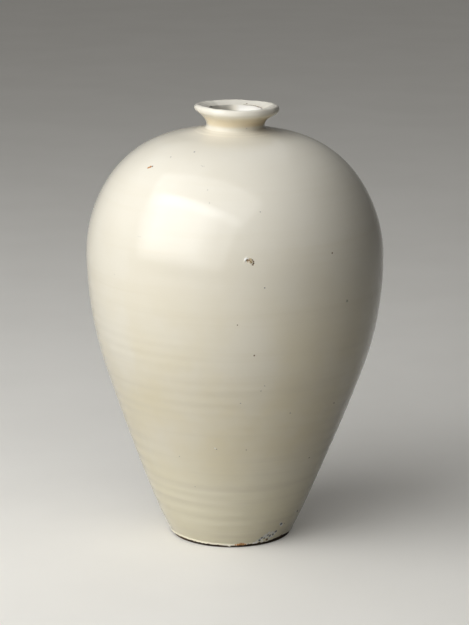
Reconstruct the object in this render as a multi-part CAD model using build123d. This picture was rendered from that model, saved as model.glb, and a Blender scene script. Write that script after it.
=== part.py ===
from build123d import *
from build123d.topology import SkipClean
import math
import os

# Meiping bottle vase in white-slipped, ivory-glazed stoneware. Millimetres, +Z up.
# The origin is the centre of the foot, on the plane that the vase stands on.
# It is built as the potter builds it: five thrown clay sections, luted one on
# another at conical seams, then dipped in white slip, glazed, and lined with glaze.

# Overall outline, measured on the glazed surface
HEIGHT = 300.0
BELLY_DIAMETER = 203.6
BELLY_HEIGHT = 197.6
LOWER_DIAMETER = 119.2  # of the lower wall at its own height
LOWER_HEIGHT = 40.0
LOWER_TAPER = 21.7  # degrees that the wall leans out from the vertical there
FOOT_DIAMETER = 83.8
FOOT_TAPER = 28.9  # the same at the foot, where the wall draws in
SHOULDER_SLOPE = 11.9  # degrees that the shoulder still rises where the neck stands
SHOULDER_SHELF = 15.5  # width of the even slope round the neck

# Neck and mouth
THROAT_DIAMETER = 30.0
THROAT_LENGTH = 10.0
THROAT_FLARE = 3.0  # how far the rounded edge of the throat stands out from its wall
THROAT_FLARE_DEPTH = 5.0  # height of that rounding
NECK_WALL = 4.7  # glaze to glaze at the waist of the neck
NECK_ROOT = 5.3  # width of the hollow curve between neck and shoulder
NECK_ROOT_RISE = 3.4
NECK_HEIGHT = 6.6  # from the waist of the neck to the underside of the lip
LIP_HEIGHT = 6.3  # from the underside of the lip to the crest
LIP_UNDERCUT = 5.2  # from the waist out to the steepest point of the lip's underside
LIP_UNDERSIDE = 32.3  # degrees above the horizontal at that point
LIP_OVERHANG = 9.1  # from the waist out to the lip's edge
LIP_ROLL = 2.2  # radius of the rolled edge outside the crest
CREST_ROLL = 2.0  # radius of the crest's inner side
MOUTH_SLOPE = 19.0  # degrees that the dished mouth falls from the crest to the throat

# Layers, from the outside in
GLAZE = 0.6
SLIP = 0.4
WALL = 6.0
LINING = 0.5

# Base and foot
FOOT_BEVEL = 1.0  # height of the bare bevel under the glaze line
FOOT_RING = 9.0
FOOT_RECESS = 2.5
BASE_THICKNESS = 8.0

# Luted seams: the place of each on the inner face of the wall
BASE_SEAM_RISE = 3.5  # above the floor inside
LOWER_SEAM_HEIGHT = 108.0
SHOULDER_SEAM_DEPTH = 68.0  # below the crest of the lip
SEAM_FALL = 20.0  # degrees that a wall seam falls towards the axis
NECK_SEAM_FALL = 45.0  # the same for the seam under the root of the neck
LUTING = 0.8  # thickness of the luting slip between two sections
COIL_DIAMETER = 16.0  # roll of clay pressed into the seam from inside
COIL_RISE = 1.4  # how far the smoothed coil stands out of the wall

# Sizes that follow from these
throat_radius = THROAT_DIAMETER / 2
waist_radius = throat_radius + NECK_WALL
root_radius = waist_radius + NECK_ROOT
shelf_radius = root_radius + SHOULDER_SHELF
lip_radius = waist_radius + LIP_OVERHANG
underside_height = HEIGHT - LIP_HEIGHT
waist_height = underside_height - NECK_HEIGHT
root_height = waist_height - NECK_ROOT_RISE
shelf_height = root_height - SHOULDER_SHELF * math.tan(math.radians(SHOULDER_SLOPE))
crest_radius = lip_radius - LIP_ROLL
dish_turn = math.radians(MOUTH_SLOPE)
dish_radius = crest_radius - CREST_ROLL * math.sin(dish_turn)
dish_height = HEIGHT - CREST_ROLL * (1 - math.cos(dish_turn))
throat_edge_radius = throat_radius + THROAT_FLARE
throat_edge_height = dish_height - (dish_radius - throat_edge_radius) * math.tan(dish_turn)
throat_top = throat_edge_height - THROAT_FLARE_DEPTH
throat_bottom = throat_top - THROAT_LENGTH
clay_depth = GLAZE + SLIP
cavity_depth = clay_depth + WALL
floor_height = FOOT_RECESS + BASE_THICKNESS
coil_radius = COIL_DIAMETER / 2
reach = BELLY_DIAMETER  # long enough to pass through any wall

STRAIGHT = 1e-6  # sine of the turn under which an arc is drawn as a straight line
TOUCHING = 1e-6  # distance under which two ends are one point
HALVINGS = 50  # steps of the search for a height on an arc


def point(radius, height):
    """A point of the half section, which lies in the XZ plane."""
    return Vector(radius, 0, height)


def heading(degrees):
    """A direction of travel in the half section: 0 is outwards and 90 is upwards."""
    angle = math.radians(degrees)
    return Vector(math.cos(angle), 0, math.sin(angle))


def left_of(direction):
    return Vector(-direction.Z, 0, direction.X)


def arc(start, direction, end):
    """The arc, or straight line, that leaves start along direction and ends at end."""
    chord = end - start
    if direction.cross(chord).length < STRAIGHT * chord.length:
        return Line(start, end)
    return TangentArc(start, end, tangent=direction)


def biarc(start, leaving, end, arriving):
    """Two tangent arcs with equal tangent lengths, or one straight line, between stations."""
    chord = end - start
    along = chord.dot(leaving + arriving)
    turn = 2 * (1 - leaving.dot(arriving))
    if turn > STRAIGHT:
        tangent_length = (math.sqrt(along**2 + turn * chord.dot(chord)) - along) / turn
    elif leaving.cross(chord).length > STRAIGHT * chord.length:
        tangent_length = chord.dot(chord) / (2 * along)
    else:
        return [Line(start, end)]
    joint = (start + leaving * tangent_length + end - arriving * tangent_length) / 2
    first = arc(start, leaving, joint)
    return [first, arc(joint, first % 1, end)]


def chain(stations):
    """Smooth outline through stations, each a point and a direction of travel."""
    edges = []
    for (start, leaving), (end, arriving) in zip(stations, stations[1:]):
        edges += biarc(start, leaving, end, arriving)
    return edges


def beneath(edges, depth):
    """The same outline at an even depth to the left of travel, arc for arc."""
    moved = []
    for edge in edges:
        start, middle, end = (edge @ u + left_of(edge % u) * depth for u in (0, 0.5, 1))
        straight = edge.geom_type == GeomType.LINE
        moved.append(Line(start, end) if straight else ThreePointArc(start, middle, end))
    return moved


def closed(items):
    """The flat face inside edges and corner points that are given in order of travel."""
    edges = [item for item in items if not isinstance(item, Vector)]
    ends = [(item, item) if isinstance(item, Vector) else (item @ 0, item @ 1) for item in items]
    for (_, leaves), (enters, _) in zip(ends, ends[1:] + ends[:1]):
        if (enters - leaves).length > TOUCHING:
            edges.append(Line(leaves, enters))
    return make_face(edges)


def coat(outer, inner):
    """The face between two outlines that run side by side."""
    ends = [Line(outer[0] @ 0, inner[0] @ 0), Line(outer[-1] @ 1, inner[-1] @ 1)]
    return make_face(outer + inner + ends)


# Glazed surface, from the foot up the outside, over the lip and down the throat
foot_edge = (point(FOOT_DIAMETER / 2, FOOT_BEVEL), heading(90 - FOOT_TAPER))
lower = (point(LOWER_DIAMETER / 2, LOWER_HEIGHT), heading(90 - LOWER_TAPER))
belly = (point(BELLY_DIAMETER / 2, BELLY_HEIGHT), heading(90))
shelf = (point(shelf_radius, shelf_height), heading(180 - SHOULDER_SLOPE))
root = (point(root_radius, root_height), heading(180 - SHOULDER_SLOPE))
waist = (point(waist_radius, waist_height), heading(90))
underside = (point(waist_radius + LIP_UNDERCUT, underside_height), heading(LIP_UNDERSIDE))
lip_edge = (point(lip_radius, HEIGHT - LIP_ROLL), heading(90))
crest = (point(crest_radius, HEIGHT), heading(180))
dish = (point(dish_radius, dish_height), heading(180 + MOUTH_SLOPE))
throat_edge = (point(throat_edge_radius, throat_edge_height), heading(180 + MOUTH_SLOPE))
throat_mouth = (point(throat_radius, throat_top), heading(270))
throat_end = (point(throat_radius, throat_bottom), heading(270))

body_outline = chain([foot_edge, lower, belly, shelf, root])
mouth_outline = chain([root, waist, underside, lip_edge, crest, dish, throat_edge, throat_mouth, throat_end])
surface = body_outline + mouth_outline
slip_surface = beneath(surface, GLAZE)
clay_surface = beneath(surface, clay_depth)

# Inner face of the clay, from the foot up to the bottom of the throat
inner_body = beneath(body_outline, cavity_depth)
under_root = (inner_body[-1] @ 1, inner_body[-1] % 1)
inner_wall = inner_body + biarc(*under_root, clay_surface[-1] @ 1, heading(90))


def cavity(depth):
    """The hollow inside the clay, taken in by depth all round."""
    wall = beneath(inner_wall, depth)
    low, high = wall[0] @ 0, wall[-1] @ 1
    hollow = closed(wall + [point(0, high.Z), point(0, low.Z)])
    floor = floor_height + depth
    above_floor = closed([point(0, floor), point(reach, floor), point(reach, HEIGHT), point(0, HEIGHT)])
    return hollow & above_floor


def underfoot():
    """Corner points of the underside, from the axis out to the foot's bevel."""
    ring_outer = (clay_surface[0] @ 0).X - FOOT_BEVEL
    ring_inner = ring_outer - FOOT_RING
    recess_edge = ring_inner - FOOT_RECESS
    return [point(0, FOOT_RECESS), point(recess_edge, FOOT_RECESS), point(ring_inner, 0), point(ring_outer, 0)]


clay = closed(underfoot() + clay_surface + [point(0, throat_bottom)]) - cavity(0)


def on_inner_wall(height):
    """The point of the inner wall at a height, and the direction of the wall there."""
    edge = next(e for e in inner_wall if (e @ 1).Z >= height)
    low, high = 0.0, 1.0
    for _ in range(HALVINGS):
        middle = (low + high) / 2
        low, high = (middle, high) if (edge @ middle).Z < height else (low, middle)
    return edge @ low, edge % low


class Seam:
    """A conical joint between two clay sections, with its luting slip and its coil."""

    def __init__(self, place, fall):
        self.inner, self.wall = place
        self.slope = heading(fall)
        self.half = left_of(self.slope) * (LUTING / 2)

    def line(self, side):
        """Far ends of the seam's upper (1) or lower (-1) face: inside, then outside."""
        return [self.inner - self.slope * WALL + self.half * side,
                self.inner + self.slope * reach + self.half * side]

    def coil(self, depth=0.0):
        """Section of the coil, which is sunk in the wall until only its rise shows."""
        centre = self.inner - left_of(self.wall) * (coil_radius - COIL_RISE)
        section = Plane(origin=centre, x_dir=(1, 0, 0), z_dir=(0, -1, 0))
        return section * Circle(coil_radius + depth)

    def raised_coil(self):
        """The part of the coil that stands in the hollow."""
        return self.coil() & cavity(0)

    def luting(self):
        """The slip between the sections and the coil that backs it, as one ring."""
        film = closed(self.line(-1) + self.line(1)[::-1]) & clay
        return film + self.raised_coil()


base_seam = Seam(on_inner_wall(floor_height + BASE_SEAM_RISE), SEAM_FALL)
lower_seam = Seam(on_inner_wall(LOWER_SEAM_HEIGHT), SEAM_FALL)
shoulder_seam = Seam(on_inner_wall(HEIGHT - SHOULDER_SEAM_DEPTH), SEAM_FALL)
neck_seam = Seam(under_root, NECK_SEAM_FALL)
seams = [base_seam, lower_seam, shoulder_seam, neck_seam]


def thrown(cut, *ends):
    """A clay section, with its inner face divided where coil and lining meet on it."""
    with SkipClean():
        return (clay & cut).cut(*(seam.raised_coil() for seam in ends))


def between(lower, upper):
    """The clay from one seam up to the next."""
    return thrown(closed(lower.line(1)[::-1] + upper.line(-1)), lower, upper)


def lining():
    """The glaze that was poured in and out: it covers the floor, the wall and the coils."""
    outside = cavity(0)
    inside = cavity(LINING)
    for seam in seams:
        outside -= seam.coil()
        inside -= seam.coil(LINING)
    return outside - inside


base_inner, base_outer = base_seam.line(-1)
below_base_seam = closed([base_inner, base_outer, point(base_outer.X, 0), point(0, 0), point(0, base_inner.Z)])
neck_inner, neck_outer = neck_seam.line(1)
above_neck_seam = closed([neck_outer, neck_inner, point(0, neck_inner.Z), point(0, neck_outer.Z)])

sections = {
    "base_and_foot": thrown(below_base_seam, base_seam),
    "lower_wall": between(base_seam, lower_seam),
    "belly_wall": between(lower_seam, shoulder_seam),
    "shoulder_dome": between(shoulder_seam, neck_seam),
    "neck_and_mouth": thrown(above_neck_seam, neck_seam),
    "base_luting": base_seam.luting(),
    "lower_luting": lower_seam.luting(),
    "shoulder_luting": shoulder_seam.luting(),
    "neck_luting": neck_seam.luting(),
    "white_slip": coat(slip_surface, clay_surface),
    "outer_glaze": coat(surface, slip_surface),
    "lining_glaze": lining(),
}

# The divided faces stay divided, so that each face meets the one on it edge for edge
os.makedirs("parts", exist_ok=True)
for name, section in sections.items():
    export_step(revolve(section, axis=Axis.Z, clean=False), f"parts/{name}.step")
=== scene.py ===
import math

import bmesh
import bpy
import numpy as np
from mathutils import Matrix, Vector


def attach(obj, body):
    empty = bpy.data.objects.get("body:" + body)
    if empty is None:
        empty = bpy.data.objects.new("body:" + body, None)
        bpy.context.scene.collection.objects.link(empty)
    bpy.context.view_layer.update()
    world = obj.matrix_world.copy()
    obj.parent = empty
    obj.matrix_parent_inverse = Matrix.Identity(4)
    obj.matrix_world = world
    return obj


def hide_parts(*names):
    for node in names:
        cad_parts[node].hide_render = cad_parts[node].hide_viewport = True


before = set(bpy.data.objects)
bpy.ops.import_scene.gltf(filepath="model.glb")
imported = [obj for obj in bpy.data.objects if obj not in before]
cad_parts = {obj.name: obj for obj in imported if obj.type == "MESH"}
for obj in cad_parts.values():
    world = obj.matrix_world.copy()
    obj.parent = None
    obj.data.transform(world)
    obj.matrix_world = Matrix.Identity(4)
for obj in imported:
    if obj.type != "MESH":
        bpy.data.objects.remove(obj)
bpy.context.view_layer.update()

# Meiping vase in ivory-glazed stoneware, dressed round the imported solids.
# Metres and degrees, +Z up. The photographed side faces -Y, and an azimuth counts
# from there towards +X. The coats are turned again from the outline's stations with
# the marks of hand and kiln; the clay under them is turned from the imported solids.

MM = 0.001

# Stations of the glazed outline: radius, height, heading (0 is outwards, 90 is upwards)
FOOT = (0.0419, 0.0010, 61.1)
LOWER = (0.0596, 0.0400, 68.3)
BELLY = (0.1018, 0.1976, 90.0)
SHELF = (0.0405, 0.280434, 168.1)
ROOT = (0.0250, 0.2837, 168.1)
WAIST = (0.0197, 0.2871, 90.0)
UNDERSIDE = (0.0249, 0.2937, 32.3)
LIP_EDGE = (0.0288, 0.2978, 90.0)
CREST = (0.0266, 0.3000, 180.0)
DISH = (0.025949, 0.299891, 199.0)
THROAT_EDGE = (0.0190, 0.297498, 199.0)
THROAT_TOP = (0.0150, 0.292154, 270.0)
THROAT_END = (0.0150, 0.282154, 270.0)
STATIONS = (FOOT, LOWER, BELLY, SHELF, ROOT, WAIST, UNDERSIDE, LIP_EDGE, CREST, DISH, THROAT_EDGE,
            THROAT_TOP, THROAT_END)
# Thickness of the two coats
GLAZE = 0.0006
SLIP = 0.0004

# The hand: how far the axis wanders sideways with height
LEAN_HEIGHTS = (0.0, 0.075, 0.150, 0.225, 0.300)
LEAN_SHIFTS = (-0.00214, -0.00111, 0.00039, -0.00014, 0.00157)
LEAN_DEGREE = 4
# The upper body tilts sideways, by an angle that grows between two heights
TILT = 0.84
TILT_FROM = 0.150
TILT_FULL = 0.310
# The lip is raised, pitches along the view and rolls across it
LIP_RISE = 0.00045
MOUTH_PITCH = 1.5
MOUTH_ROLL = 0.5
# Where the rolled lip hangs thicker or thinner: azimuth, half width in degrees, drop
LIP_DROOPS = ((78.0, 80.0, 0.0009), (-90.0, 75.0, -0.0005), (0.0, 80.0, 0.0010))
DROOP_FROM = WAIST[1] + 0.003

# Throwing rings, which climb the wall as one helix
RING_PITCH = 0.0086
RING_DEPTH = 0.00014
RINGS_FROM = 0.004
RINGS_FULL = 0.020
RINGS_FADE = 0.070
RINGS_END = 0.225
# Waves by which the helix drifts and its depth swells: size, length, turns in one round, phase
SLOW_DRIFT = (1.8, 0.027, 1, 0.0)
SLOW_DRIFT_TURN = 1.0
QUICK_DRIFT = (0.9, 0.0091, 1, 2.0)
MEAN_SWELL = 0.50
LONG_SWELL = (0.30, 0.0173, 2, 0.7)
SHORT_SWELL = (0.20, 0.0061, -3, 0.0)
# Lobes of the wall and of the lip: how many in one round, depth, phase
LOBES = ((2, 0.00022, 0.4), (3, 0.00012, 2.1), (5, 0.00005, 4.0))
LOBES_FULL = 0.05
LOBES_FADE = 0.262
LOBES_END = 0.280
LIP_LOBES = ((2, 0.00020, 1.0), (3, 0.00016, 0.3), (7, 0.00010, 2.6), (13, 0.00006, 5.1),
             (23, 0.00003, 0.9))
LIP_WAVE_TURN = 0.9

# The burst blister on the belly
CRATER_AZIMUTH = 5.74
CRATER_HEIGHT = 0.2149
CRATER_REACH = 0.0048
# What it left: height, middle and half widths in millimetres, turn in degrees, flatness
BLISTER = {
    "broken rim": (0.52, (-2.75, 0.95), (0.55, 1.45), -38.0, 1.0),
    "pit": (-0.55, (-1.65, 0.35), (0.85, 0.80), 0.0, 1.0),
    "dome": (0.40, (0.75, -0.35), (1.55, 1.35), -40.0, 0.6),
    "crack": (-0.30, (0.45, -0.60), (1.15, 0.28), -42.0, 1.0),
    "hem beside it": (-0.30, (2.45, -0.60), (0.40, 1.20), 8.0, 1.0),
    "hem below it": (-0.30, (1.75, -2.25), (0.80, 0.40), 35.0, 1.0),
}

# Camera and light, from the photograph
CAMERA_PLACE = (0.0, -1.710, 0.578)
CAMERA_AIM = (0.0, 0.0, 0.156)
FOCAL_PIXELS = 2558.0
IMAGE_HEIGHT = 625.0
SENSOR = 36.0
DAYLIGHT = (0.972, 0.988, 1.010)
WARM_WHITE = (1.0, 0.93, 0.74)
# Soft boxes: azimuth, elevation and distance from the vase, width, height, radiance, colour
PANELS = {
    "soft_box": (-43.0, 28.0, 1.30, 1.98, 1.26, 1.16, DAYLIGHT),
    "soft_box_glow": (-47.0, 29.5, 1.29, 1.42, 1.14, 0.8, DAYLIGHT),
    "soft_box_middle": (-48.0, 30.5, 1.28, 1.12, 1.04, 1.0, DAYLIGHT),
    "soft_box_core": (-49.0, 32.5, 1.27, 0.90, 0.86, 0.85, DAYLIGHT),
    "soft_box_top": (-40.0, 62.0, 1.30, 2.00, 0.80, 1.3, DAYLIGHT),
    "back_panel": (-150.0, 56.0, 1.40, 2.00, 1.20, 0.27, DAYLIGHT),
    "side_panel": (86.0, 14.0, 1.30, 2.50, 0.90, 0.01, WARM_WHITE),
}
AIM_HEIGHT = 0.18
# The surroundings: the strength that lights the vase, and the strength that is seen or mirrored
FILL_STRENGTH = 0.008
BACKDROP_STRENGTH = 0.15
BACKDROP_COLOUR = (1.0, 0.965, 0.90, 1.0)
# The floor: what it shows, what it gives back on the light's side and on the other, its glow
FLOOR_SIZE = 14.0
FLOOR_SHOWN = ((0.75, 0.725, 0.670, 1.0), (0.77, 0.745, 0.690, 1.0))
FLOOR_RETURN_NEAR = (0.41, 0.39, 0.34, 1.0)
FLOOR_RETURN_FAR = (0.05, 0.044, 0.032, 1.0)
FLOOR_FACING = (-0.6, -0.8, 0.0)
FLOOR_CHANGE = (-0.12, 0.08)
FLOOR_GLOW_NEAR = 0.15
FLOOR_GLOW_FAR = 0.20
FLOOR_GLOW_REACH = (0.3, 2.4)

# Points closer than this are one point, and a point this near a line is on it
TOUCHING = 1e-6
STRAIGHT = 0.00001
# Samples of the outside when a height is looked for
CLIMB_SAMPLES = 4000


# Outline of tangent arcs

def direction(angle):
    return np.array((np.cos(angle), np.sin(angle)))


def arc(start, heading, end):
    """The arc that leaves start at a heading and ends at end: start, heading, turn, length."""
    chord = end - start
    bend = math.remainder(math.atan2(chord[1], chord[0]) - heading, 2 * math.pi)
    stretch = bend / math.sin(bend) if bend else 1.0
    return start, heading, 2 * bend, np.hypot(*chord) * stretch


def biarc(first, last):
    """Two tangent arcs with equal tangent lengths between two stations."""
    start, end = np.array(first[:2]), np.array(last[:2])
    leaving, arriving = math.radians(first[2]), math.radians(last[2])
    ahead, behind = direction(leaving), direction(arriving)
    chord = end - start
    along = chord @ (ahead + behind)
    turn = 2 * (1 - ahead @ behind)
    if turn > TOUCHING:
        reach = (math.sqrt(along**2 + turn * (chord @ chord)) - along) / turn
    else:
        reach = (chord @ chord) / (2 * along)
    joint = (start + ahead * reach + end - behind * reach) / 2
    opening = arc(start, leaving, joint)
    return [opening, arc(joint, leaving + opening[2], end)]


class Outline:
    """A smooth half section, measured by the distance travelled along it."""

    def __init__(self, stations):
        arcs = [piece for pair in zip(stations, stations[1:]) for piece in biarc(*pair)]
        self.starts = np.array([piece[0] for piece in arcs])
        self.headings = np.array([piece[1] for piece in arcs])
        self.turns = np.array([piece[2] for piece in arcs])
        self.lengths = np.array([piece[3] for piece in arcs])
        self.begins = np.concatenate(([0.0], np.cumsum(self.lengths)))
        self.length = self.begins[-1]
        self.station = dict(zip(stations, self.begins[::2]))

    def at(self, travelled):
        """Radius, height and heading at distances along the outline."""
        piece = np.searchsorted(self.begins, travelled, side="right") - 1
        piece = np.clip(piece, 0, len(self.lengths) - 1)
        gone = travelled - self.begins[piece]
        half = self.turns[piece] * gone / self.lengths[piece] / 2
        chord = gone * np.sinc(half / np.pi)
        middle = self.headings[piece] + half
        radius = self.starts[piece, 0] + chord * np.cos(middle)
        height = self.starts[piece, 1] + chord * np.sin(middle)
        return radius, height, middle + half

    def on_body(self, height):
        """The distance at which the outside first reaches a height."""
        climb = np.linspace(0, self.station[CREST], CLIMB_SAMPLES)
        return float(np.interp(height, self.at(climb)[1], climb))


outline = Outline(STATIONS)
crater_at = outline.on_body(CRATER_HEIGHT)


# The potter's hand, which every piece follows

def smooth_step(values, low, high):
    share = np.clip((values - low) / (high - low), 0.0, 1.0)
    return share * share * (3 - 2 * share)


def bump(values, centre, half_width):
    """A smooth hump of height 1 at centre that ends at half_width on both sides."""
    share = np.clip(np.abs(values - centre) / half_width, 0.0, 1.0)
    return (1 - share * share) ** 2


def lobed(azimuth, lobes):
    return sum(depth * np.cos(count * azimuth + phase) for count, depth, phase in lobes)


def wave(height, azimuth, size, length, turns, phase):
    """A wave up the wall that shifts with the azimuth."""
    return size * np.sin(height / length + turns * azimuth + phase)


lean_curve = np.polyfit(LEAN_HEIGHTS, LEAN_SHIFTS, LEAN_DEGREE)


def by_hand(points):
    """The points of a true round vase, moved to where the hand and the kiln left them."""
    x, y, z = np.moveaxis(np.asarray(points, float), -1, 0)
    radius = np.hypot(x, y)
    azimuth = np.arctan2(x, -y)
    strength = smooth_step(z, RINGS_FROM, RINGS_FULL) * (1 - smooth_step(z, RINGS_FADE, RINGS_END))
    climb = 2 * np.pi * z / RING_PITCH + azimuth
    drift = wave(z, np.cos(azimuth + SLOW_DRIFT_TURN), *SLOW_DRIFT) + wave(z, azimuth, *QUICK_DRIFT)
    swell = MEAN_SWELL + wave(z, azimuth, *LONG_SWELL) + wave(z, azimuth, *SHORT_SWELL)
    ring = RING_DEPTH * strength * swell * np.sin(climb + drift)
    body = smooth_step(z, 0.0, LOBES_FULL) * (1 - smooth_step(z, LOBES_FADE, LOBES_END))
    lip = smooth_step(z, WAIST[1], LIP_EDGE[1]) * smooth_step(radius, THROAT_END[0], THROAT_EDGE[0])
    moved = ring + body * lobed(azimuth, LOBES) + lip * lobed(azimuth, LIP_LOBES)
    widen = np.where(radius > TOUCHING, 1 + moved / np.maximum(radius, TOUCHING), 1.0)
    slope = y * math.tan(math.radians(MOUTH_PITCH)) + x * math.tan(math.radians(MOUTH_ROLL))
    rise = lip * (LIP_RISE + lobed(azimuth + LIP_WAVE_TURN, LIP_LOBES) - slope)
    below_crest = 1 - smooth_step(z, LIP_EDGE[1], CREST[1])
    roll = smooth_step(z, DROOP_FROM, UNDERSIDE[1]) * below_crest * lip
    for centre, half_width, drop in LIP_DROOPS:
        rise = rise - roll * drop * bump(np.degrees(azimuth), centre, half_width)
    tilt = math.tan(math.radians(TILT)) * smooth_step(z, TILT_FROM, TILT_FULL)
    shift = np.polyval(lean_curve, z)
    return np.stack((x * widen + shift, y * widen, z + rise - x * tilt), -1)


# Meshes

# Angles past which the shading of the coats and of the turned pieces breaks
COAT_CREASE = 50.0
TURNED_CREASE = 32.0


def new_piece(name, vertices, faces):
    mesh = bpy.data.meshes.new(name)
    mesh.from_pydata(vertices, [], faces)
    mesh.validate()
    mesh.update()
    piece = bpy.data.objects.new(name, mesh)
    bpy.context.scene.collection.objects.link(piece)
    return piece


def ring_faces(rows, columns):
    """Quads of a grid that closes on itself both ways."""
    index = np.arange(rows * columns).reshape(rows, columns)
    above, beside = np.roll(index, -1, 0), np.roll(index, -1, 1)
    quads = np.stack((index, beside, np.roll(above, -1, 1), above), -1)
    return quads.reshape(-1, 4).tolist()


def shade(piece, crease):
    """Smooth shading that breaks at edges sharper than crease."""
    for polygon in piece.data.polygons:
        polygon.use_smooth = True
    piece.data.set_sharp_from_angle(angle=math.radians(crease))


def spun(radius, height, azimuth):
    return np.stack((radius * np.sin(azimuth), -radius * np.cos(azimuth), height + 0 * azimuth), -1)


# Columns of the coats, closer together across the crater

COLUMN_STEP = 0.9
FINE_STEP = 0.13
FINE_HALF = 2.9
fine_low, fine_high = CRATER_AZIMUTH - FINE_HALF, CRATER_AZIMUTH + FINE_HALF
azimuths = np.radians(np.concatenate((
    np.arange(-180.0, fine_low, COLUMN_STEP),
    np.arange(fine_low, fine_high, FINE_STEP),
    np.arange(fine_high, 180.0 - COLUMN_STEP / 2, COLUMN_STEP))))


# Lower edge of the glaze: how far up the wall it ends, the least height of its underside,
# and how far up the wall the rows give way to it
EDGE_RISE = 0.0013
EDGE_CLEAR = 0.0002
EDGE_REACH = 0.014
EDGE_LOBES = ((5, 0.00008, 0.2), (11, 0.00007, 1.9), (19, 0.00006, 4.4), (37, 0.00005, 0.8),
              (61, 0.00004, 2.2))
# How much of that rise the slip under the glaze follows
SLIP_SHARE = 0.8
# Where the edge hangs lower or has drawn back, and where it is chipped:
# azimuth, half width in degrees, rise
EDGE_SWELLS = ((2.0, 27.0, -0.0006), (54.0, 24.0, 0.0016), (-50.0, 24.0, 0.0007), (150.0, 40.0, 0.0006))
GLAZE_CHIPS = ((-21.5, 2.4, 0.0005), (-30.0, 1.6, 0.0003), (-39.0, 2.2, 0.0003), (-52.0, 1.8, 0.0003),
               (-58.0, 1.5, 0.0005), (-46.0, 1.3, 0.0004), (-34.5, 1.4, 0.0005), (-26.0, 1.3, 0.0004),
               (-12.0, 1.5, 0.0004), (8.0, 2.0, 0.0004), (13.0, 1.5, 0.0005), (18.5, 1.6, 0.0006),
               (26.5, 2.2, 0.0008), (31.5, 2.4, 0.0006), (37.0, 2.0, 0.0004), (42.5, 1.8, 0.0005),
               (52.5, 2.6, 0.0009), (-62.0, 4.0, 0.0004), (84.0, 3.0, 0.0008), (118.0, 6.0, 0.0010),
               (124.0, 3.0, 0.0008), (-135.0, 4.0, 0.0010), (-141.0, 2.0, 0.0007),
               (171.0, 9.0, 0.0006))
# Where the glaze has flaked at the foot: azimuth, height and half width in millimetres
FLAKES = ((26.5, 4.1, 1.2), (28.4, 5.9, 1.2), (36.6, 6.4, 1.3), (39.7, 6.9, 1.1), (42.1, 8.9, 1.3),
          (45.2, 14.4, 1.3), (15.8, 1.9, 1.1), (17.8, 1.8, 0.9), (34.0, 7.4, 1.0), (31.0, 5.2, 1.0))
FLAKE_DEPTH = 0.00022
# The neck was luted on: a faint step on the shelf, which fades, and a ridge above it
SEAM_STEP = 0.00016
SEAM_WIDTH = 0.0016
SEAM_FADE = 0.005
SEAM_RIDGE = 0.00012
RIDGE_AT = 0.0030
# A nub that hangs from the glaze's edge
NUB_AZIMUTH = -1.8
NUB_HALF = 2.0
NUB_DROP = 0.0003
NUB_SWELL = 0.0007
NUB_REACH = 0.0016
# The bead along the glaze's edge, thickest on one side
BEAD = 0.0008
BEAD_HEIGHT = 0.0006
BEAD_CENTRE = 0.0004
BEAD_LEAST = 0.4
BEAD_AZIMUTH = -40.0
BEAD_HALF = 80.0
BEAD_REACH = 0.0020


def edge_rise(azimuth):
    """How far the lower edge of the glaze has drawn or broken back from the foot."""
    degrees = np.degrees(azimuth)
    rise = EDGE_RISE + lobed(azimuth, EDGE_LOBES)
    for centre, half_width, height in EDGE_SWELLS + GLAZE_CHIPS:
        rise = rise + height * bump(degrees, centre, half_width)
    return rise - NUB_DROP * bump(degrees, NUB_AZIMUTH, NUB_HALF)


def hump(across, along, size, centre, half_widths, turn, flatness):
    """A round hump on the wall, at distances across and along it."""
    away, up = across - centre[0] * MM, along - centre[1] * MM
    cosine, sine = math.cos(math.radians(turn)), math.sin(math.radians(turn))
    aside = (away * cosine + up * sine) / half_widths[0]
    above = (up * cosine - away * sine) / half_widths[1]
    reach = np.hypot(aside, above) / MM
    return size * np.exp(-reach**2) ** flatness


def crater_relief(across, along):
    """Relief of the burst blister at distances across and along the wall from its middle."""
    return MM * sum(hump(across, along, *form) for form in BLISTER.values())


def zone(start, end, step):
    """Even distances from start up to, but without, end."""
    return np.linspace(start, end, max(2, round((end - start) / step)), endpoint=False)


# How far apart the rows of the coats are, and those of their hidden faces
BEAD_STEP = 0.00016
FOOT_STEP = 0.0005
BODY_STEP = 0.0015
CRATER_STEP = 0.00022
MOUTH_STEP = 0.0005
HIDDEN_FOOT_STEP = 0.001
HIDDEN_BODY_STEP = 0.007
HIDDEN_MOUTH_STEP = 0.0017

outer_rows = np.concatenate((
    zone(0.0, BEAD_REACH, BEAD_STEP),
    zone(BEAD_REACH, EDGE_REACH, FOOT_STEP),
    zone(EDGE_REACH, crater_at - CRATER_REACH, BODY_STEP),
    zone(crater_at - CRATER_REACH, crater_at + CRATER_REACH, CRATER_STEP),
    zone(crater_at + CRATER_REACH, outline.station[SHELF], BODY_STEP),
    zone(outline.station[SHELF], outline.length, MOUTH_STEP),
    [outline.length]))
hidden_rows = np.concatenate((
    zone(0.0, EDGE_REACH, HIDDEN_FOOT_STEP),
    zone(EDGE_REACH, outline.station[SHELF], HIDDEN_BODY_STEP),
    zone(outline.station[SHELF], outline.length, HIDDEN_MOUTH_STEP),
    [outline.length]))


def coat_surface(rows, depth, share, relief):
    """One face of a coat: rows of the outline, taken in by depth, its edge drawn back by share."""
    rise = share * edge_rise(azimuths)
    near = np.clip(1 - rows / EDGE_REACH, 0.0, 1.0)
    travelled = rows[:, None] + near[:, None] * rise[None, :]
    radius, height, heading = outline.at(travelled)
    out = relief(travelled) - depth
    level = np.maximum(height - out * np.cos(heading), EDGE_CLEAR)
    return spun(radius + out * np.sin(heading), level, azimuths[None, :])


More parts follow.
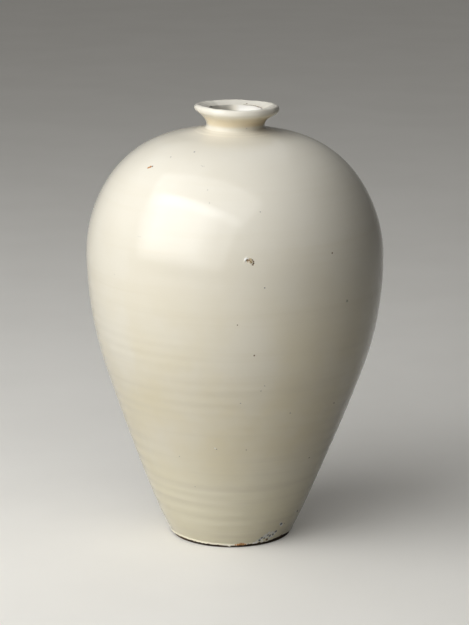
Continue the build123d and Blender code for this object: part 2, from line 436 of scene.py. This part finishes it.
def glaze_relief(travelled):
    """Relief of the glaze: the bead and nub of its edge, the neck's seam, the crater, the flakes."""
    degrees = np.degrees(azimuths)[None, :]
    from_edge = travelled - edge_rise(azimuths)[None, :]
    share = BEAD_LEAST + (1 - BEAD_LEAST) * bump(degrees, BEAD_AZIMUTH, BEAD_HALF)
    bead = BEAD * share * np.exp(-((from_edge - BEAD_CENTRE) / BEAD_HEIGHT) ** 2)
    nub = NUB_SWELL * bump(degrees, NUB_AZIMUTH, NUB_HALF) * np.exp(-(from_edge / NUB_REACH) ** 2)
    across = np.radians(degrees - CRATER_AZIMUTH) * BELLY[0]
    past_root = travelled - outline.station[ROOT]
    step_fade = 1 - smooth_step(past_root, 0.0, SEAM_FADE)
    seam = SEAM_STEP * smooth_step(past_root, -2 * SEAM_WIDTH, -SEAM_WIDTH) * step_fade
    seam = seam + SEAM_RIDGE * bump(past_root, RIDGE_AT, SEAM_WIDTH)
    relief = bead + nub + seam + crater_relief(across, travelled - crater_at)
    for azimuth, height, half_width in FLAKES:
        aside = np.radians(degrees - azimuth) * FOOT[0] / MM
        above = (travelled - outline.on_body(height * MM)) / MM
        relief = relief - FLAKE_DEPTH * np.exp(-(aside**2 + above**2) / half_width**2)
    return relief


def no_relief(travelled):
    return np.zeros_like(travelled)


def coat(name, rows, top, bottom, share, relief):
    """A closed coat between two depths under the glazed outline."""
    outside = coat_surface(rows, top, share, relief)
    inside = coat_surface(hidden_rows, bottom, share, no_relief)
    grid = by_hand(np.concatenate((outside, inside[::-1])))
    piece = new_piece(name, grid.reshape(-1, 3), ring_faces(*grid.shape[:2]))
    shade(piece, COAT_CREASE)
    return piece


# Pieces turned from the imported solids

CUT_AZIMUTH = 7.3
HIDDEN_COLUMNS = 96


def half_section(node):
    """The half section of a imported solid: points (radius, height) in order, and whether it closes."""
    solid = bmesh.new()
    solid.from_mesh(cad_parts[node].data)
    bmesh.ops.remove_doubles(solid, verts=solid.verts[:], dist=TOUCHING)
    turn = math.radians(CUT_AZIMUTH)
    outwards = Vector((math.cos(turn), math.sin(turn), 0.0))
    sideways = outwards.cross((0.0, 0.0, 1.0))
    everything = solid.verts[:] + solid.edges[:] + solid.faces[:]
    bmesh.ops.bisect_plane(solid, geom=everything, plane_co=(0, 0, 0), plane_no=sideways,
                           clear_inner=True, clear_outer=True)
    everything = solid.verts[:] + solid.edges[:]
    bmesh.ops.bisect_plane(solid, geom=everything, plane_co=(0, 0, 0), plane_no=outwards,
                           clear_inner=True)
    ends = [vertex for vertex in solid.verts if len(vertex.link_edges) == 1]
    vertex = ends[0] if ends else solid.verts[:][0]
    path, edge = [], None
    while vertex is not None:
        path.append((vertex.co.dot(outwards), vertex.co.z))
        edge = next((e for e in vertex.link_edges if e is not edge), None)
        vertex = edge.other_vert(vertex) if edge else None
        if vertex is not None and (vertex.co.dot(outwards), vertex.co.z) == path[0]:
            vertex = None
    solid.free()
    return np.array(path), not ends


def thinned(path, closed):
    """The same half section without the points that lie on the line between their neighbours."""
    kept = [path[0]]
    for point, after in zip(path[1:], np.roll(path, -2, 0)):
        chord = after - kept[-1]
        off = point - kept[-1]
        if abs(chord[0] * off[1] - chord[1] * off[0]) > STRAIGHT * np.hypot(*chord):
            kept.append(point)
    return np.array(kept if closed else kept[:-1] + [path[-1]])


def divided(path, step):
    """The same half section with extra points where two of them are more than step apart."""
    points = []
    for start, end in zip(path, path[1:]):
        count = max(1, math.ceil(np.hypot(*(end - start)) / step))
        points += [start + (end - start) * share for share in np.arange(count) / count]
    return np.array(points + [path[-1]])


def turned(name, grid, closed):
    """A lathe-turned piece from a grid of rows; a row on the axis becomes one point."""
    faces = ring_faces(*grid.shape[:2])
    if not closed:
        faces = faces[:-grid.shape[1]]
    piece = new_piece(name, by_hand(grid).reshape(-1, 3), faces)
    work = bmesh.new()
    work.from_mesh(piece.data)
    bmesh.ops.remove_doubles(work, verts=work.verts[:], dist=TOUCHING)
    bmesh.ops.recalc_face_normals(work, faces=work.faces[:])
    work.to_mesh(piece.data)
    work.free()
    shade(piece, TURNED_CREASE)
    return piece


def columns_around(count):
    return np.radians(np.arange(count) * 360.0 / count)[None, :]


def hidden_piece(name, node):
    """A piece under the coats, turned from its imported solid."""
    path, closed = half_section(node)
    path = thinned(path, closed)
    return turned(name, spun(path[:, :1], path[:, 1:], columns_around(HIDDEN_COLUMNS)), closed)


# The base: a spiral of turning marks under it, a worn foot ring and a rim that spreads
FOOT_COLUMNS = 240
UNDERSIDE_STEP = 0.0007
RECESS_HEIGHT = 0.0025
TURN_PITCH = 0.0021
TURN_DEPTH = 0.00009
TURN_WANDER = 0.7
TURN_LOBES = 3
TURN_RUN = 0.004
TURN_CLEAR = 0.004
RING_WEAR = 0.00012
WEAR_REACH = 0.0016
WEAR_LOBES = 9
WEAR_PHASE = 1.0
WEAR_PATCHES = 4
FOOT_RIM = 0.0400
RIM_SPREAD = 0.0013
RIM_BEVEL = 0.0009


def foot_piece():
    """The base disc and foot ring, with a spiral of turning marks and a worn edge."""
    path, closed = half_section("base_and_foot")
    path = divided(thinned(path, closed), UNDERSIDE_STEP)
    around = columns_around(FOOT_COLUMNS)
    radius, height = path[:, :1] + 0 * around, path[:, 1:] + 0 * around
    under = (height < RECESS_HEIGHT + TOUCHING) & (radius < FOOT_RIM + TOUCHING)
    wander = TURN_WANDER * np.sin(TURN_LOBES * around + radius / TURN_RUN)
    spiral = 0.5 + 0.5 * np.sin(2 * np.pi * radius / TURN_PITCH + around + wander)
    fade = smooth_step(radius, 0.0, TURN_CLEAR)
    patches = 0.5 + 0.5 * np.sin(WEAR_LOBES * around + WEAR_PHASE) * np.sin(WEAR_PATCHES * around)
    wear = RING_WEAR * patches * bump(radius, FOOT_RIM, WEAR_REACH)
    at_rim = (height < RIM_BEVEL) & (radius > FOOT_RIM - RIM_BEVEL)
    radius = np.where(at_rim, radius + RIM_SPREAD * (1 - height / RIM_BEVEL), radius)
    height = np.where(under, height + TURN_DEPTH * fade * spiral + wear, height)
    return turned("turned_foot", spun(radius, height, around), closed)


# Materials

# The share of a scattered dot, and of a mark, that has its full colour, and how ragged a mark is
DOT_CORE = 0.5
MARK_CORE = 0.45
MARK_RAGGED = 0.0005


class Shader:
    """A material whose nodes are added and fed by short calls."""

    def __init__(self, name, **surface):
        self.material = bpy.data.materials.new(name)
        self.material.use_nodes = True
        self.tree = self.material.node_tree
        self.surface = self.tree.nodes["Principled BSDF"]
        for key, value in surface.items():
            self.surface.inputs[key].default_value = value
        self.place = self.add("ShaderNodeTexCoord").outputs["Object"]

    def add(self, kind, inputs=None, **settings):
        node = self.tree.nodes.new(kind)
        for key, value in settings.items():
            setattr(node, key, value)
        for key, value in (inputs or {}).items():
            self.feed(node.inputs[key], value)
        return node

    def feed(self, socket, value):
        if isinstance(value, bpy.types.NodeSocket):
            self.tree.links.new(value, socket)
        else:
            socket.default_value = value

    def math(self, operation, first, second=0.0):
        return self.add("ShaderNodeMath", {0: first, 1: second}, operation=operation).outputs[0]

    def blend(self, share, first, second):
        """First where share is 0 and second where it is 1."""
        node = self.add("ShaderNodeMix", {0: share, 6: first, 7: second}, data_type="RGBA")
        return node.outputs[2]

    def ramp(self, value, low, high, start=0.0, end=1.0):
        """Value between low and high, eased to run from start to end."""
        names = {"Value": value, "From Min": low, "From Max": high, "To Min": start, "To Max": end}
        return self.add("ShaderNodeMapRange", names, interpolation_type="SMOOTHSTEP").outputs[0]

    def vector(self, operation, first, second):
        return self.add("ShaderNodeVectorMath", {0: first, 1: second}, operation=operation).outputs

    def radius(self, shift):
        """Distance from the vase's axis where that has wandered sideways by shift."""
        flat = self.vector("MULTIPLY", self.place, (1.0, 1.0, 0.0))["Vector"]
        return self.vector("DISTANCE", flat, (shift, 0.0, 0.0))["Value"]

    def stretched(self, scale):
        """The place, with each of its axes scaled."""
        return self.add("ShaderNodeMapping", {"Vector": self.place, "Scale": scale}).outputs[0]

    def noise(self, scale, detail=3.0, vector=None, offset=0.0):
        """Soft noise from 0 to 1 with features of about 1 / scale metres."""
        inputs = {"Vector": vector or self.place, "Scale": scale, "Detail": detail, "W": offset}
        return self.add("ShaderNodeTexNoise", inputs, noise_dimensions="4D").outputs[0]

    def cells(self, scale, share, size, offset=0.0):
        """Scattered dots: 1 inside a dot, in a share of the cells."""
        inputs = {"Vector": self.place, "Scale": scale, "W": offset}
        cell = self.add("ShaderNodeTexVoronoi", inputs, voronoi_dimensions="4D").outputs
        lot = self.add("ShaderNodeSeparateColor", {0: cell["Color"]}).outputs[0]
        chosen = self.math("GREATER_THAN", lot, 1.0 - share)
        dot = self.ramp(cell["Distance"], size * DOT_CORE, size, start=1.0, end=0.0)
        return self.math("MULTIPLY", chosen, dot)

    def relief(self, height, depth, normal=None):
        """A bump of a depth in metres over the surface, or over another bump."""
        inputs = {"Height": height, "Distance": depth, "Strength": 1.0}
        node = self.add("ShaderNodeBump", inputs)
        if normal:
            self.feed(node.inputs["Normal"], normal)
        return node.outputs[0]

    def finish(self, colour, roughness, normal):
        self.feed(self.surface.inputs["Base Color"], colour)
        self.feed(self.surface.inputs["Roughness"], roughness)
        self.feed(self.surface.inputs["Normal"], normal)
        return self.material


# Colours
LOW_IVORY = (0.800, 0.716, 0.516, 1.0)
HIGH_IVORY = (0.795, 0.740, 0.618, 1.0)
PALE = (0.830, 0.782, 0.668, 1.0)
# Painted bounce light from the floor, paler towards the foot
FOOT_PAINTED_LIGHT = (0.890, 0.825, 0.615, 1.0)
# Darker tone for the painted shade of the throwing rings
SHADED = (0.755, 0.685, 0.530, 1.0)
WARM = (0.800, 0.690, 0.490, 1.0)
TAN = (0.480, 0.380, 0.230, 1.0)
SMUDGE = (0.470, 0.450, 0.330, 1.0)
BROWN = (0.165, 0.088, 0.032, 1.0)
UMBER = (0.240, 0.150, 0.060, 1.0)
DARK = (0.045, 0.036, 0.028, 1.0)
ORANGE = (0.520, 0.240, 0.075, 1.0)
GREY = (0.300, 0.280, 0.250, 1.0)
BLUISH = (0.120, 0.135, 0.170, 1.0)
WHITE = (0.920, 0.905, 0.860, 1.0)
# Soot with painted shade, for the foot's rim in the gap under the glaze's edge
SOOT_AND_SHADE = (0.040, 0.028, 0.020, 1.0)
# Painted shade for the shaded side of the throat
THROAT_PAINTED_SHADE = (0.380, 0.355, 0.300, 1.0)
# Painted light on the lip
LIP_PAINTED_LIGHT = (0.930, 0.890, 0.790, 1.0)
# Painted light for the lit side of the throat
THROAT_PAINTED_LIGHT = (0.930, 0.895, 0.815, 1.0)
SAND = (0.62, 0.52, 0.40, 1.0)
LINING_IVORIES = ((0.76, 0.71, 0.59, 1.0), (0.70, 0.63, 0.48, 1.0))
SLIP_WHITES = ((0.80, 0.77, 0.70, 1.0), (0.74, 0.69, 0.59, 1.0))
BUFF_CLAY = ((0.46, 0.34, 0.22, 1.0), (0.42, 0.215, 0.085, 1.0))
LUTING_CLAY = ((0.43, 0.32, 0.21, 1.0), (0.38, 0.22, 0.11, 1.0))

# Where the colour of the glaze changes: heights, then radii, then places across the throat
IVORY_CHANGE = (0.10, 0.24)
# Heights over which the painted bounce light fades
FOOT_LIGHT_SPAN = (0.02, 0.09)
# Heights over which the painted ring shade fades
BAND_CHANGE = (0.15, 0.26)
EDGE_CHANGE = (0.0016, 0.0030)
NECK_START = (ROOT[1] + 0.0032, ROOT[1] + 0.0056)
NECK_END = (0.2930, 0.2965)
# Heights of the painted light on the lip
LIP_LIGHT_SPAN = (0.2965, 0.2985)
THROAT_START = (0.285, 0.290)
NECK_WALL = (0.0180, 0.0187)
THROAT_WALL = (0.0186, 0.0191)
# Places across the throat where its shaded side gets painted shade and its lit side painted light
SHADED_SIDE_SPAN = (-0.006, 0.001)
LIT_SIDE_SPAN = (0.000, 0.004)
# Soot and painted shade on the clay's rim, in the gap under the glaze's edge: radii and heights
SOOT_SHADE_RIM = (FOOT_RIM - 0.0025, FOOT_RIM - 0.0005)
SOOT_SHADE_SPAN = (0.0030, 0.0050)
# How noise is stretched into bands of painted ring shade round the vase, or into runs down it
BAND_STRETCH = (5.0, 5.0, 170.0)
DRAG_STRETCH = (20.0, 20.0, 150.0)
BRUSH_STRETCH = (30.0, 30.0, 500.0)
RUN_STRETCH = (70.0, 70.0, 6.0)

# Kiln marks on the outside, with painted highlights and shadows among them: azimuth, height and half
# width in millimetres
MARKS = {
    TAN: ((5.9, 215.8, 1.3), (6.1, 214.3, 1.6), (5.0, 214.6, 1.0)),
    SMUDGE: ((47.0, 181.1, 1.3),),
    # The last grey is the painted shadow beside the nub at -9.2 degrees
    GREY: ((-29.7, 276.3, 0.8), (-43.1, 272.4, 0.6), (10.9, 197.1, 0.6), (11.0, 124.8, 0.55),
           (12.4, 128.4, 0.45), (26.2, 105.9, 0.6), (43.3, 15.2, 0.5), (22.0, 287.5, 0.45),
           (11.0, 244.8, 0.5), (-12.4, 257.1, 0.4), (-10.7, 249.8, 0.4), (-39.9, 225.4, 0.3),
           (-38.7, 225.4, 0.3), (-19.2, 269.9, 0.3), (-18.4, 269.7, 0.3), (-17.6, 269.9, 0.3),
           (2.6, 116.1, 0.45), (-8.4, 80.3, 0.5)),
    # Brown stain with painted shade in the blister's pit
    UMBER: ((4.80, 215.2, 1.1),),
    # The first nine browns are the blister's brown stain, darkened as painted shade in its pit and on its
    # far side
    BROWN: ((5.05, 215.1, 0.7), (5.45, 215.3, 0.65), (5.68, 214.8, 0.5), (5.99, 214.3, 0.5),
            (6.30, 213.8, 0.5), (6.64, 215.5, 0.65), (7.03, 214.6, 0.75), (7.07, 213.4, 0.9),
            (6.75, 212.5, 0.8), (39.7, 215.4, 0.7), (0.85, 172.5, 0.55), (7.4, 150.9, 0.8),
            (6.8, 79.9, 0.55), (53.2, 105.6, 0.7), (48.6, 65.6, 0.6), (34.5, 3.8, 1.4),
            (49.5, 13.8, 0.45)),
    ORANGE: ((-50.9, 265.6, 1.4), (-51.8, 265.0, 1.2), (4.0, 2.2, 0.9), (5.8, 2.3, 1.2),
             (7.6, 2.4, 1.4), (9.4, 2.5, 1.5), (11.2, 2.4, 1.3), (13.2, 2.3, 1.0)),
    # Whites: the first three are the painted highlight on the blister's broken rim, the one at -9.2
    # degrees is the painted highlight of the nub, and those between 21 and 47 degrees at the foot are
    # white flakes brightened with painted glints
    WHITE: ((4.05, 216.0, 1.0), (4.45, 216.6, 0.8), (3.95, 215.2, 0.8), (59.9, 20.5, 0.8),
            (74.6, 255.3, 0.6), (-9.2, 81.1, 0.7), (27.4, 5.0, 2.2), (30.6, 6.9, 2.2), (31.7, 8.0, 1.8),
            (33.0, 6.4, 2.2), (34.3, 9.2, 1.8), (37.8, 8.6, 2.0), (38.2, 5.6, 1.9), (41.0, 7.6, 1.8),
            (46.2, 13.2, 1.7), (43.9, 15.0, 1.4), (21.0, 2.6, 1.2), (23.5, 3.1, 1.3), (24.6, 4.4, 1.2),
            (29.5, 3.4, 1.1), (36.5, 4.0, 1.1), (40.5, 5.0, 1.0)),
    BLUISH: FLAKES,
    # The first dark is the painted shadow on the far side of the blister's dome
    DARK: ((7.10, 213.2, 0.5), (-49.7, 266.1, 0.8), (63.6, 19.9, 1.2)),
}
# The same inside the mouth, with a radius after the height
MOUTH_MARKS = {
    GREY: ((87.0, 297.9, 20.3, 1.3), (80.0, 297.9, 20.0, 0.9)),
    BROWN: ((161.0, 298.3, 21.4, 0.7), (165.0, 297.8, 19.8, 0.7), (161.0, 297.75, 19.7, 0.6),
            (157.0, 297.7, 19.6, 0.7), (152.0, 297.7, 19.5, 0.8), (148.0, 297.65, 19.45, 0.7),
            (144.0, 297.6, 19.4, 0.8), (140.0, 297.6, 19.3, 0.8), (136.0, 297.55, 19.2, 0.7),
            (132.0, 297.5, 19.1, 0.8), (127.5, 297.5, 19.0, 0.9), (122.0, 297.4, 18.8, 0.8),
            (116.0, 297.3, 18.6, 0.8), (110.0, 297.2, 18.4, 0.8), (104.0, 297.2, 18.3, 0.7),
            (-103.0, 297.2, 18.2, 0.9), (4.7, 299.9, 25.9, 0.5)),
    WHITE: ((-143.6, 298.2, 20.9, 0.7),),
    DARK: ((-112.0, 297.4, 18.6, 1.1),),
}


def mark_places(table, inside):
    """The marks of a table as paint, place and half width, in metres."""
    for paint, marks in table.items():
        for azimuth, height, *radius, half_width in marks:
            height, turn = np.array(height * MM), np.array(math.radians(azimuth))
            out = np.array(radius[0] * MM) if inside else outline.at(np.array(outline.on_body(height)))[0]
            yield paint, by_hand(spun(out, height, turn)), half_width * MM


def marked(shader, colour):
    """The colour with the kiln marks and the painted highlights and shadows among them laid over it, each
    with a ragged edge.
    """
    wander = shader.add("ShaderNodeTexNoise", {"Vector": shader.place, "Scale": 900.0, "Detail": 2.0})
    spread = shader.vector("SUBTRACT", wander.outputs["Color"], (0.5, 0.5, 0.5))["Vector"]
    scaled = {0: spread, "Scale": 2 * MARK_RAGGED}
    spread = shader.add("ShaderNodeVectorMath", scaled, operation="SCALE").outputs["Vector"]
    ragged = shader.vector("ADD", shader.place, spread)["Vector"]
    shares = {}
    for paint, place, half_width in [*mark_places(MARKS, False), *mark_places(MOUTH_MARKS, True)]:
        away = shader.vector("DISTANCE", ragged, place)["Value"]
        share = shader.ramp(away, half_width * MARK_CORE, half_width, start=1.0, end=0.0)
        shares[paint] = shader.math("MAXIMUM", shares[paint], share) if paint in shares else share
    for paint, share in shares.items():
        colour = shader.blend(share, colour, paint)
    return colour


def glaze_material():
    """Ivory glaze: clouded, faintly banded with painted shade of the throwing rings, warm where it has
    gathered, with painted light on the lip and towards the foot and painted shade and light in the
    throat.
    """
    shader = Shader("ivory_glaze", IOR=1.5)
    split = shader.add("ShaderNodeSeparateXYZ", {0: shader.place}).outputs
    across, height = split["X"], split["Z"]
    radius = shader.radius(LEAN_SHIFTS[-1])
    colour = shader.blend(shader.ramp(height, *IVORY_CHANGE), LOW_IVORY, HIGH_IVORY)
    clouds = shader.noise(scale=16.0, detail=4.0)
    colour = shader.blend(shader.ramp(clouds, low=0.35, high=0.65, end=0.7), colour, PALE)
    # Painted bounce light from the floor, paler towards the foot
    colour = shader.blend(shader.ramp(height, *FOOT_LIGHT_SPAN, start=0.8, end=0.0), colour, FOOT_PAINTED_LIGHT)
    # Darker bands round the lower body: painted shade of the throwing rings
    bands = shader.noise(scale=1.0, detail=3.0, vector=shader.stretched(BAND_STRETCH), offset=1.3)
    fading = shader.ramp(height, *BAND_CHANGE, start=1.0, end=0.35)
    bands = shader.math("MULTIPLY", shader.ramp(bands, low=0.45, high=0.75, end=0.55), fading)
    colour = shader.blend(bands, colour, SHADED)
    above_root = shader.ramp(height, *NECK_START)
    below_lip = shader.ramp(height, *NECK_END, start=1.0, end=0.0)
    neck = shader.math("MULTIPLY", above_root, below_lip)
    neck = shader.math("MULTIPLY", neck, shader.ramp(radius, *NECK_WALL))
    pooled = shader.ramp(shader.noise(scale=60.0), low=0.2, high=0.6, start=0.7)
    colour = shader.blend(shader.math("MULTIPLY", neck, pooled), colour, WARM)
    colour = shader.blend(shader.ramp(height, *EDGE_CHANGE, start=0.35, end=0.0), colour, WHITE)
    # Painted light on the lip
    colour = shader.blend(shader.ramp(height, *LIP_LIGHT_SPAN, end=0.35), colour, LIP_PAINTED_LIGHT)
    # Painted shade on the throat's shaded side and painted light on its lit side
    within = shader.ramp(radius, *THROAT_WALL, start=1.0, end=0.0)
    throat = shader.math("MULTIPLY", within, shader.ramp(height, *THROAT_START))
    painted_shade_share = shader.math("MULTIPLY", throat, shader.ramp(across, *SHADED_SIDE_SPAN, start=0.9, end=0.0))
    painted_light_share = shader.math("MULTIPLY", throat, shader.ramp(across, *LIT_SIDE_SPAN, end=0.9))
    colour = shader.blend(painted_shade_share, colour, THROAT_PAINTED_SHADE)
    colour = shader.blend(painted_light_share, colour, THROAT_PAINTED_LIGHT)
    colour = shader.blend(shader.cells(scale=190.0, share=0.045, size=0.13), colour, GREY)
    colour = shader.blend(shader.cells(scale=150.0, share=0.030, size=0.10, offset=3.0), colour, BROWN)
    colour = marked(shader, colour)
    sheen = shader.noise(scale=45.0, detail=4.0, offset=5.0)
    rough = shader.ramp(sheen, low=0.3, high=0.7, start=0.05, end=0.09)
    peel = shader.relief(shader.noise(scale=230.0, detail=2.0, offset=2.0), depth=0.000012)
    waves = shader.relief(shader.noise(scale=48.0, detail=1.0, offset=4.0), depth=0.00012, normal=peel)
    dragged = shader.noise(scale=1.0, detail=2.0, vector=shader.stretched(DRAG_STRETCH), offset=8.0)
    drag = shader.relief(dragged, depth=0.00005, normal=waves)
    pinholes = shader.cells(scale=260.0, share=0.08, size=0.14, offset=6.0)
    pits = shader.relief(pinholes, depth=-0.00010, normal=drag)
    return shader.finish(colour, rough, pits)


def lining_material():
    """The glaze poured inside: thinner, with runs."""
    shader = Shader("lining_glaze", IOR=1.5)
    runs = shader.noise(scale=1.0, detail=3.0, vector=shader.stretched(RUN_STRETCH))
    colour = shader.blend(shader.ramp(runs, low=0.35, high=0.70), *LINING_IVORIES)
    colour = shader.blend(shader.cells(scale=170.0, share=0.05, size=0.13), colour, BROWN)
    rough = shader.ramp(shader.noise(scale=60.0), low=0.3, high=0.7, start=0.18, end=0.32)
    return shader.finish(colour, rough, shader.relief(runs, depth=0.00015))


def slip_material():
    """Matt white slip with brush drag and fine grain."""
    shader = Shader("white_slip", IOR=1.45)
    drag = shader.noise(scale=1.0, detail=4.0, vector=shader.stretched(BRUSH_STRETCH))
    colour = shader.blend(shader.ramp(drag, low=0.3, high=0.7), *SLIP_WHITES)
    colour = shader.blend(shader.cells(scale=700.0, share=0.10, size=0.22), colour, GREY)
    rough = shader.ramp(shader.noise(scale=300.0), low=0.3, high=0.7, start=0.55, end=0.75)
    return shader.finish(colour, rough, shader.relief(drag, depth=0.00006))


def clay_material(name, light, deep, offset):
    """Bare fired stoneware: sandy, flashed with orange, peppered with iron, darkened at the rim by soot
    and painted shade.
    """
    shader = Shader(name, IOR=1.45)
    flash = shader.ramp(shader.noise(scale=38.0, detail=5.0, offset=offset), low=0.35, high=0.68)
    colour = shader.blend(flash, light, deep)
    sand = shader.noise(scale=1900.0, detail=3.0, offset=offset)
    colour = shader.blend(shader.ramp(sand, low=0.50, high=0.72, end=0.5), colour, SAND)
    iron = shader.cells(scale=650.0, share=0.16, size=0.25, offset=offset)
    colour = shader.blend(iron, colour, DARK)
    rust = shader.cells(scale=420.0, share=0.10, size=0.28, offset=offset + 2.0)
    colour = shader.blend(rust, colour, BROWN)
    height = shader.add("ShaderNodeSeparateXYZ", {0: shader.place}).outputs["Z"]
    # The rim darkens with soot and with painted shade of the gap under the glaze
    rim = shader.ramp(shader.radius(LEAN_SHIFTS[0]), *SOOT_SHADE_RIM)
    rim = shader.math("MULTIPLY", rim, shader.ramp(height, *SOOT_SHADE_SPAN, start=1.0, end=0.0))
    soot_and_shade_share = shader.ramp(flash, low=0.0, high=1.0, start=0.95, end=0.80)
    colour = shader.blend(shader.math("MULTIPLY", rim, soot_and_shade_share), colour, SOOT_AND_SHADE)
    rough = shader.ramp(sand, low=0.3, high=0.7, start=0.70, end=0.92)
    grit = shader.relief(shader.noise(scale=1100.0, detail=4.0, offset=offset + 1.0), depth=0.00018)
    return shader.finish(colour, rough, grit)


def dress(piece, body_slot, material, *nodes):
    """Gives a piece its material and its place in the frame."""
    piece.data.materials.clear()
    piece.data.materials.append(material)
    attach(piece, "root")
    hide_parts(*nodes)


clay = clay_material("bare_clay", *BUFF_CLAY, offset=0.0)
luting = clay_material("luting_slip", *LUTING_CLAY, offset=7.0)
outer_coat = coat("outer_coat", outer_rows, top=0.0, bottom=GLAZE, share=1.0, relief=glaze_relief)
dress(outer_coat, "glaze", glaze_material(), "outer_glaze")
slip_coat = coat("slip_coat", hidden_rows, top=GLAZE, bottom=GLAZE + SLIP, share=SLIP_SHARE,
                 relief=no_relief)
dress(slip_coat, "slip", slip_material(), "white_slip")
dress(hidden_piece("lining_coat", "lining_glaze"), "lining", lining_material(), "lining_glaze")
dress(foot_piece(), "clay", clay, "base_and_foot")
for node in ("lower_wall", "belly_wall", "shoulder_dome", "neck_and_mouth"):
    dress(hidden_piece(node + "_clay", node), "clay", clay, node)
for node in ("base_luting", "lower_luting", "shoulder_luting", "neck_luting"):
    dress(hidden_piece(node + "_ring", node), "luting", luting, node)


# Stage, light and camera

def floor():
    """A wide pale floor: it keeps the shadow, and gives back most light on the light's side."""
    half = FLOOR_SIZE / 2
    corners = [(-half, -half, 0.0), (half, -half, 0.0), (half, half, 0.0), (-half, half, 0.0)]
    piece = new_piece("floor", corners, [(0, 1, 2, 3)])
    shader = Shader("pale_floor", Roughness=0.9)
    path = shader.add("ShaderNodeLightPath").outputs
    seen = shader.math("MAXIMUM", path["Is Camera Ray"], path["Is Glossy Ray"])
    seen = shader.math("MAXIMUM", seen, path["Is Transmission Ray"])
    grain = shader.ramp(shader.noise(scale=9.0), low=0.3, high=0.7)
    shown = shader.blend(grain, *FLOOR_SHOWN)
    towards_light = shader.vector("DOT_PRODUCT", shader.place, FLOOR_FACING)["Value"]
    share = shader.ramp(towards_light, *FLOOR_CHANGE)
    returned = shader.blend(share, FLOOR_RETURN_FAR, FLOOR_RETURN_NEAR)
    shader.feed(shader.surface.inputs["Base Color"], shader.blend(seen, returned, shown))
    shader.feed(shader.surface.inputs["Emission Color"], shown)
    glow = shader.ramp(shader.radius(0.0), *FLOOR_GLOW_REACH, FLOOR_GLOW_NEAR, FLOOR_GLOW_FAR)
    shader.feed(shader.surface.inputs["Emission Strength"], shader.math("MULTIPLY", seen, glow))
    piece.data.materials.append(shader.material)


def aimed(thing, place, aim):
    thing.location = place
    thing.rotation_euler = (Vector(aim) - Vector(place)).to_track_quat("-Z", "Y").to_euler()
    bpy.context.scene.collection.objects.link(thing)
    return thing


def soft_light(name, width, height, radiance, colour, place, aim):
    """A soft box of even radiance that the camera doesn't see."""
    lamp = bpy.data.lights.new(name, "AREA")
    lamp.shape = "RECTANGLE"
    lamp.size, lamp.size_y = width, height
    lamp.energy = radiance * math.pi * width * height
    lamp.color = colour
    box = aimed(bpy.data.objects.new(name, lamp), place, aim)
    box.visible_camera = False


def studio_lights():
    aim = Vector((0.0, 0.0, AIM_HEIGHT))
    for name, (azimuth, elevation, distance, width, height, radiance, colour) in PANELS.items():
        turn, climb = math.radians(azimuth), math.radians(elevation)
        level = math.cos(climb)
        away = Vector((math.sin(turn) * level, -math.cos(turn) * level, math.sin(climb)))
        soft_light(name, width, height, radiance, colour, aim + away * distance, aim)


def fill_light():
    world = bpy.data.worlds.new("studio")
    world.use_nodes = True
    background = world.node_tree.nodes["Background"]
    background.inputs["Color"].default_value = BACKDROP_COLOUR
    nodes, links = world.node_tree.nodes, world.node_tree.links
    path = nodes.new("ShaderNodeLightPath").outputs
    seen = path["Is Camera Ray"]
    for ray in ("Is Glossy Ray", "Is Transmission Ray"):
        either = nodes.new("ShaderNodeMath")
        either.operation = "MAXIMUM"
        links.new(seen, either.inputs[0])
        links.new(path[ray], either.inputs[1])
        seen = either.outputs[0]
    strength = nodes.new("ShaderNodeMapRange")
    strength.inputs["To Min"].default_value = FILL_STRENGTH
    strength.inputs["To Max"].default_value = BACKDROP_STRENGTH
    links.new(seen, strength.inputs["Value"])
    links.new(strength.outputs[0], background.inputs["Strength"])
    bpy.context.scene.world = world


def camera():
    lens = bpy.data.cameras.new("camera")
    lens.sensor_width = SENSOR
    lens.lens = FOCAL_PIXELS / IMAGE_HEIGHT * SENSOR
    bpy.context.scene.camera = aimed(bpy.data.objects.new("camera", lens), CAMERA_PLACE, CAMERA_AIM)


floor()
studio_lights()
fill_light()
camera()
bpy.context.scene.view_settings.view_transform = "Standard"
